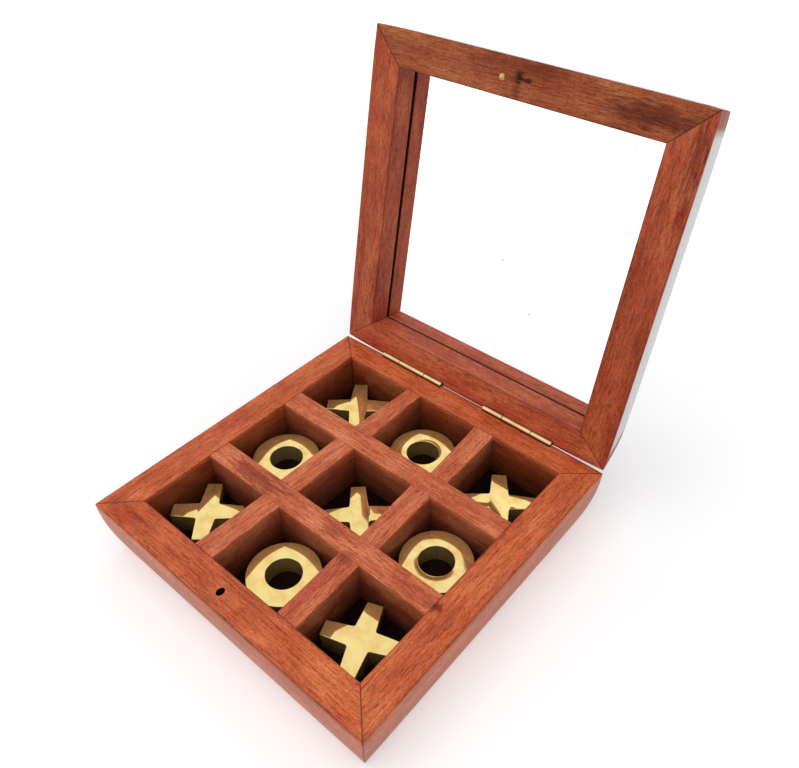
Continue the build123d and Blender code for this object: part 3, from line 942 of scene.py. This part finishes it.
def cast_cross(name, centre, turn, material, edge):
    """An X: four arms that narrow to their tips, with soft inner corners."""
    corners = []
    radii = []
    for quarter in range(4):
        turned = Matrix.Rotation(radians(90 * quarter + turn), 2)
        for point, radius in (((X_REACH, -X_TIP), 0.3 * MM), ((X_REACH, X_TIP), 0.3 * MM),
                              ((X_ROOT, X_ROOT), 0.8 * MM)):
            corners.append(turned @ Vector(point))
            radii.append(radius)
    outline = rounded(corners, radii, 4)
    bm = bmesh.new()
    face = bm.faces.new([bm.verts.new((centre.x + p.x, centre.y + p.y, FLOOR_TOP)) for p in outline])
    top = bmesh.ops.extrude_face_region(bm, geom=[face])
    verts = [v for v in top["geom"] if isinstance(v, bmesh.types.BMVert)]
    bmesh.ops.translate(bm, vec=(0, 0, PIECE_HEIGHT), verts=verts)
    level = (FLOOR_TOP, FLOOR_TOP + PIECE_HEIGHT)
    rims = [e for e in bm.edges
            if any(all(abs(v.co.z - z) < SAME_HEIGHT for v in e.verts) for z in level)]
    bmesh.ops.bevel(bm, geom=rims, offset=edge, segments=3, profile=0.5, affect="EDGES")
    return new_object(name, bm, material)


class BOX_OT_pieces(bpy.types.Operator):
    """Builds the five X and four O pieces"""
    bl_idname = "game_box.pieces"
    bl_label = "X and O pieces"

    def execute(self, context):
        colours = context.scene.box_colours
        edge = context.scene.box_sizes.brass_edge
        brass = polished_brass("brass_cast_buffed", colours.piece_brass, colours.polish, 0.3)
        for node in sorted(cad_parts):
            if not node.startswith(("x_piece", "o_piece")):
                continue
            low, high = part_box(node)
            centre = (low + high) / 2
            if node.startswith("x_"):
                turn = X_TURNS[node.removeprefix("x_piece_")]
                piece = cast_cross("brass_" + node, centre, turn, brass, edge)
            else:
                piece = turned_ring("brass_" + node, centre, brass, edge)
            hang_on(piece, node, "piece_brass", node)
        return {"FINISHED"}


def bent_pin(name, material):
    """The catch's pin in the closed lid: a thin stem, bent a little, with a ball at its end."""
    centre_along = CATCH_REACH - CATCH_HEAD_RADIUS
    stem_end = centre_along - 0.9 * CATCH_HEAD_RADIUS
    # distance along the pin, and its radius there
    stations = [(-CATCH_ROOT_LENGTH, CATCH_STEM_RADIUS)]
    stations += [(stem_end * i / 8, CATCH_STEM_RADIUS) for i in range(9)]
    for i in range(1, 9):
        angle = radians(24 + 156 * i / 9)
        stations.append((centre_along - CATCH_HEAD_RADIUS * cos(angle), CATCH_HEAD_RADIUS * sin(angle)))
    lean = Matrix.Rotation(-CATCH_TILT, 3, "X")
    root = Vector((CATCH_X, CATCH_ROOT_Y, LID_BOTTOM))
    bm = bmesh.new()
    rings = []
    for along, radius in stations:
        bend = CATCH_BEND * sin(pi * min(max(along / stem_end, 0), 1))
        ring = []
        for i in range(CATCH_PIN_FACETS):
            angle = 2 * pi * i / CATCH_PIN_FACETS
            point = Vector((radius * cos(angle), bend + radius * sin(angle), -along))
            ring.append(bm.verts.new(root + lean @ point))
        rings.append(ring)
    for first, second in zip(rings, rings[1:]):
        for i in range(CATCH_PIN_FACETS):
            j = (i + 1) % CATCH_PIN_FACETS
            bm.faces.new((first[i], first[j], second[j], second[i]))
    bm.faces.new(rings[0])
    bm.faces.new(rings[-1])
    return new_object(name, bm, material, 40)


class BOX_OT_hardware(bpy.types.Operator):
    """Finishes the hinges, their screws and the catch pin"""
    bl_idname = "game_box.hardware"
    bl_label = "Hinges and catch"

    def execute(self, context):
        colours = context.scene.box_colours
        brass = polished_brass("brass_rolled_painted_highlight", colours.hardware_brass, 0.1, 0.2, PAINTED_HIGHLIGHT_WAY)
        for node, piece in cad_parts.items():
            if node.startswith("hinge_"):
                piece.data.materials.clear()
                piece.data.materials.append(brass)
        dull = polished_brass("brass_drawn_dull", colours.pin_brass, 0.16, 0.2)
        pin = bent_pin("brass_catch_pin", dull)
        pin.data.transform(open_lid())
        hang_on(pin, "lid", "hardware_brass", "catch_pin")
        return {"FINISHED"}


class BOX_OT_stage(bpy.types.Operator):
    """Builds the floor, the lamp, the room light and the camera"""
    bl_idname = "game_box.stage"
    bl_label = "Stage"

    def execute(self, context):
        stage = context.scene.box_stage
        scene = context.scene
        bm = bmesh.new()
        bmesh.ops.create_grid(bm, x_segments=1, y_segments=1, size=FLOOR_SIDE)
        material, tree = new_material("paper_matt_white")
        # seamless background paper: matt white, lit from above, with a painted glow that keeps it white,
        # weaker near the box so that the shadow shows
        diffuse = add_node(tree, "ShaderNodeBsdfDiffuse", None, {"Color": rgba("F3F6F8")})
        path = add_node(tree, "ShaderNodeLightPath")
        seen = arithmetic(tree, "MAXIMUM", path.outputs["Is Camera Ray"],
                          path.outputs["Is Transmission Ray"])
        seen = arithmetic(tree, "MULTIPLY_ADD", path.outputs["Is Glossy Ray"], 0.3, seen)
        place = add_node(tree, "ShaderNodeTexCoord").outputs["Object"]
        far = add_node(tree, "ShaderNodeVectorMath", {"operation": "LENGTH"}, {0: place}).outputs["Value"]
        level = spread(tree, far, *GLOW_DISTANCES, *GLOW_LEVELS)
        strength = arithmetic(tree, "MULTIPLY", seen, level)
        # what shows through the pane gets a little more painted glow, for the light the pane takes away
        strength = arithmetic(tree, "MULTIPLY_ADD", path.outputs["Is Transmission Ray"], 0.15, strength)
        glow = add_node(tree, "ShaderNodeEmission", None, {"Color": rgba("FFFFFF"), "Strength": strength})
        both = add_node(tree, "ShaderNodeAddShader", None, {0: diffuse.outputs[0], 1: glow.outputs[0]})
        finish_material(tree, both.outputs[0])
        floor = new_object("stage_floor", bm, material)

        world = bpy.data.worlds.new("room")
        scene.world = world
        world.use_nodes = True
        tree = world.node_tree
        tree.nodes.clear()
        path = add_node(tree, "ShaderNodeLightPath")
        # the room is white where it is seen or mirrored, and dimmer where it lights
        seen = arithmetic(tree, "MAXIMUM", path.outputs["Is Camera Ray"],
                          path.outputs["Is Transmission Ray"])
        seen = arithmetic(tree, "MAXIMUM", seen, path.outputs["Is Glossy Ray"])
        background = add_node(tree, "ShaderNodeBackground", None, {
            "Color": rgba("FFFFFF"), "Strength": spread(tree, seen, 0.0, 1.0, stage.sky, 1.0)})
        add_node(tree, "ShaderNodeOutputWorld", None, {"Surface": background.outputs[0]})

        lamp = bpy.data.lights.new("overhead_softbox", "AREA")
        lamp.energy = stage.lamp_power
        lamp.size = LAMP_SIZE
        lamp_object = bpy.data.objects.new("overhead_softbox", lamp)
        lamp_object.location = LAMP_PLACE
        lamp_object.visible_glossy = False
        aim = Vector(LAMP_AIM) - lamp_object.location
        lamp_object.rotation_euler = aim.to_track_quat("-Z", "Y").to_euler()
        context.collection.objects.link(lamp_object)

        camera = bpy.data.cameras.new("photo_camera")
        camera.sensor_width = SENSOR_WIDTH
        camera.lens = FOCAL_PIXELS * SENSOR_WIDTH / IMAGE_WIDTH
        camera.clip_start = 0.01
        camera_object = bpy.data.objects.new("photo_camera", camera)
        right = Vector(CAMERA_RIGHT).normalized()
        up = -Vector(CAMERA_DOWN).normalized()
        back = right.cross(up)
        axes = Matrix((right, up, back)).transposed()
        camera_object.matrix_world = Matrix.Translation(CAMERA_PLACE) @ axes.to_4x4()
        context.collection.objects.link(camera_object)
        scene.camera = camera_object
        scene.view_settings.view_transform = "Standard"
        return {"FINISHED"}


STEPS = ("base", "dividers", "lid", "glass", "pieces", "hardware", "stage")


class BOX_PT_panel(bpy.types.Panel):
    """Lists the box's settings and the steps that build it"""
    bl_idname = "BOX_PT_panel"
    bl_label = "Tic-tac-toe Box"
    bl_space_type = "VIEW_3D"
    bl_region_type = "UI"
    bl_category = "Game Box"

    def draw(self, context):
        """Draws the settings, then a button for each step."""
        for group in (context.scene.box_sizes, context.scene.box_colours, context.scene.box_stage):
            column = self.layout.column()
            for name in group.bl_rna.properties.keys():
                if name not in ("name", "rna_type"):
                    column.prop(group, name)
        for step in STEPS:
            self.layout.operator(f"game_box.{step}")


CLASSES = (BoxSizes, BoxColours, StageSettings, BOX_OT_base, BOX_OT_dividers, BOX_OT_lid, BOX_OT_glass,
           BOX_OT_pieces, BOX_OT_hardware, BOX_OT_stage, BOX_PT_panel)


def register():
    """Makes the classes and the settings known to Blender."""
    for cls in CLASSES:
        bpy.utils.register_class(cls)
    bpy.types.Scene.box_sizes = PointerProperty(type=BoxSizes)
    bpy.types.Scene.box_colours = PointerProperty(type=BoxColours)
    bpy.types.Scene.box_stage = PointerProperty(type=StageSettings)


def unregister():
    """Takes the settings and the classes out again."""
    del bpy.types.Scene.box_sizes
    del bpy.types.Scene.box_colours
    del bpy.types.Scene.box_stage
    for cls in reversed(CLASSES):
        bpy.utils.unregister_class(cls)


def main():
    """Builds everything."""
    register()
    for step in STEPS:
        getattr(bpy.ops.game_box, step)()


if __name__ == "__main__":
    main()
